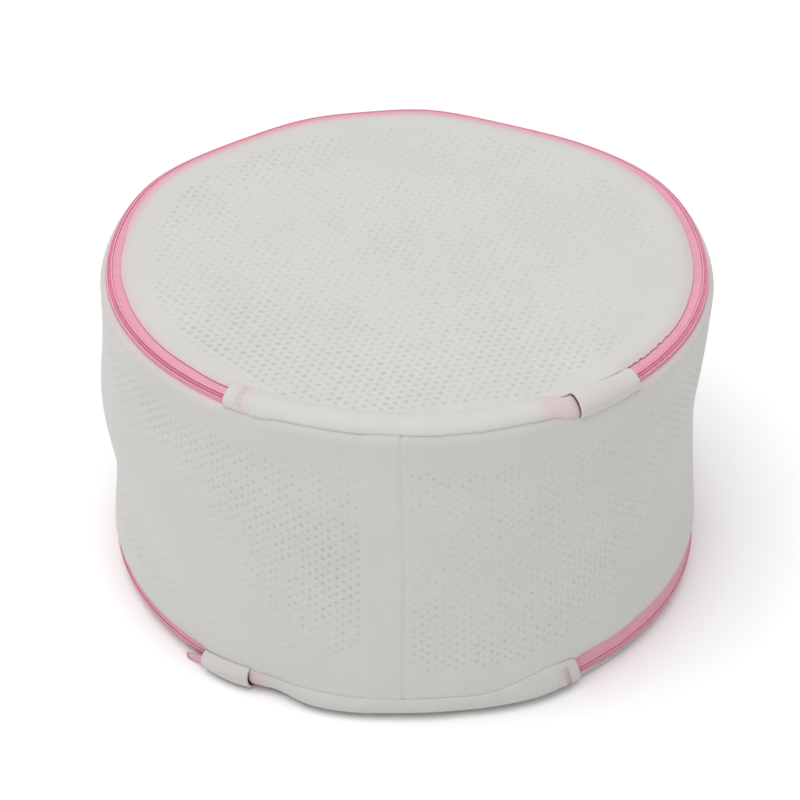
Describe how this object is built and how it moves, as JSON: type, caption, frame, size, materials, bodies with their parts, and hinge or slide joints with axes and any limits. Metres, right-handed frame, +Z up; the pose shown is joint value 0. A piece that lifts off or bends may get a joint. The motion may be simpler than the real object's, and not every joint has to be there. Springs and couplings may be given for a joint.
{
  "type": "mesh laundry bag",
  "caption": "Free-standing drum-shaped laundry bag of padded mesh, with a round panel at each end that unzips round the back and folds open.",
  "frame": {"origin": "centre of the drum's footprint on the surface it stands on", "axes": "+Z up the drum's axis; -Y towards the wall's upright seam, which is the front; +X to the right seen from the front"},
  "size_m": [0.36, 0.3612, 0.2044],
  "materials": {
    "cushion_mesh": "padded spacer mesh, white, matt, with rows of small open cells",
    "knit_binding": "smooth stretch knit, white, matt",
    "zip_tape": "woven polyester tape, pink",
    "zip_coil": "nylon coil, pink, satin",
    "slider_metal": "die-cast slider, pink paint, semi-gloss",
    "pull_paint": "flat stamped tab, pale pink paint, semi-gloss"
  },
  "bodies": {
    "root": {"side_panel": "cushion_mesh", "side_seam_binding": "knit_binding", "top_panel_front": "cushion_mesh", "top_binding": "knit_binding", "top_end_cover": "knit_binding", "top_garage": "knit_binding", "top_tape_wall": "zip_tape", "top_coil_wall": "zip_coil", "top_tape_lid_start": "zip_tape", "top_tape_lid_end": "zip_tape", "top_coil_lid_start": "zip_coil", "top_coil_lid_end": "zip_coil", "bottom_panel_front": "cushion_mesh", "bottom_binding": "knit_binding", "bottom_end_cover": "knit_binding", "bottom_garage": "knit_binding", "bottom_tape_wall": "zip_tape", "bottom_coil_wall": "zip_coil", "bottom_tape_lid_start": "zip_tape", "bottom_tape_lid_end": "zip_tape", "bottom_coil_lid_start": "zip_coil", "bottom_coil_lid_end": "zip_coil"},
    "top_lid": {"top_panel": "cushion_mesh", "top_tape_lid": "zip_tape", "top_coil_lid": "zip_coil"},
    "top_slider_body": {"top_slider": "slider_metal"},
    "top_pull_tab": {"top_pull": "pull_paint"},
    "bottom_lid": {"bottom_panel": "cushion_mesh", "bottom_tape_lid": "zip_tape", "bottom_coil_lid": "zip_coil"},
    "bottom_slider_body": {"bottom_slider": "slider_metal"},
    "bottom_pull_tab": {"bottom_pull": "pull_paint"}
  },
  "joints": [
    {"name": "top_lid_fold", "type": "hinge", "parent": "root", "child": "top_lid", "pos_m": [0, -0.112, 0.2], "axis": [1, 0, 0], "range_deg": [0, 135]},
    {"name": "top_slider_run", "type": "hinge", "parent": "root", "child": "top_slider_body", "pos_m": [0, 0, 0.19743], "axis": [0, 0, 1], "range_deg": [0, 281.5]},
    {"name": "top_pull_hinge", "type": "hinge", "parent": "top_slider_body", "child": "top_pull_tab", "pos_m": [0.10726, -0.13978, 0.19841], "axis": [0.4784, -0.6235, -0.6184], "range_deg": [0, 4]},
    {"name": "bottom_lid_fold", "type": "hinge", "parent": "root", "child": "bottom_lid", "pos_m": [0, -0.112, 0], "axis": [-1, 0, 0], "range_deg": [0, 135]},
    {"name": "bottom_slider_run", "type": "hinge", "parent": "root", "child": "bottom_slider_body", "pos_m": [0, 0, 0.0085], "axis": [0, 0, -1], "range_deg": [0, 279]},
    {"name": "bottom_pull_hinge", "type": "hinge", "parent": "bottom_slider_body", "child": "bottom_pull_tab", "pos_m": [-0.11395, -0.14021, 0.00814], "axis": [-0.3784, -0.0553, 0.924], "range_deg": [0, 15]}
  ]
}
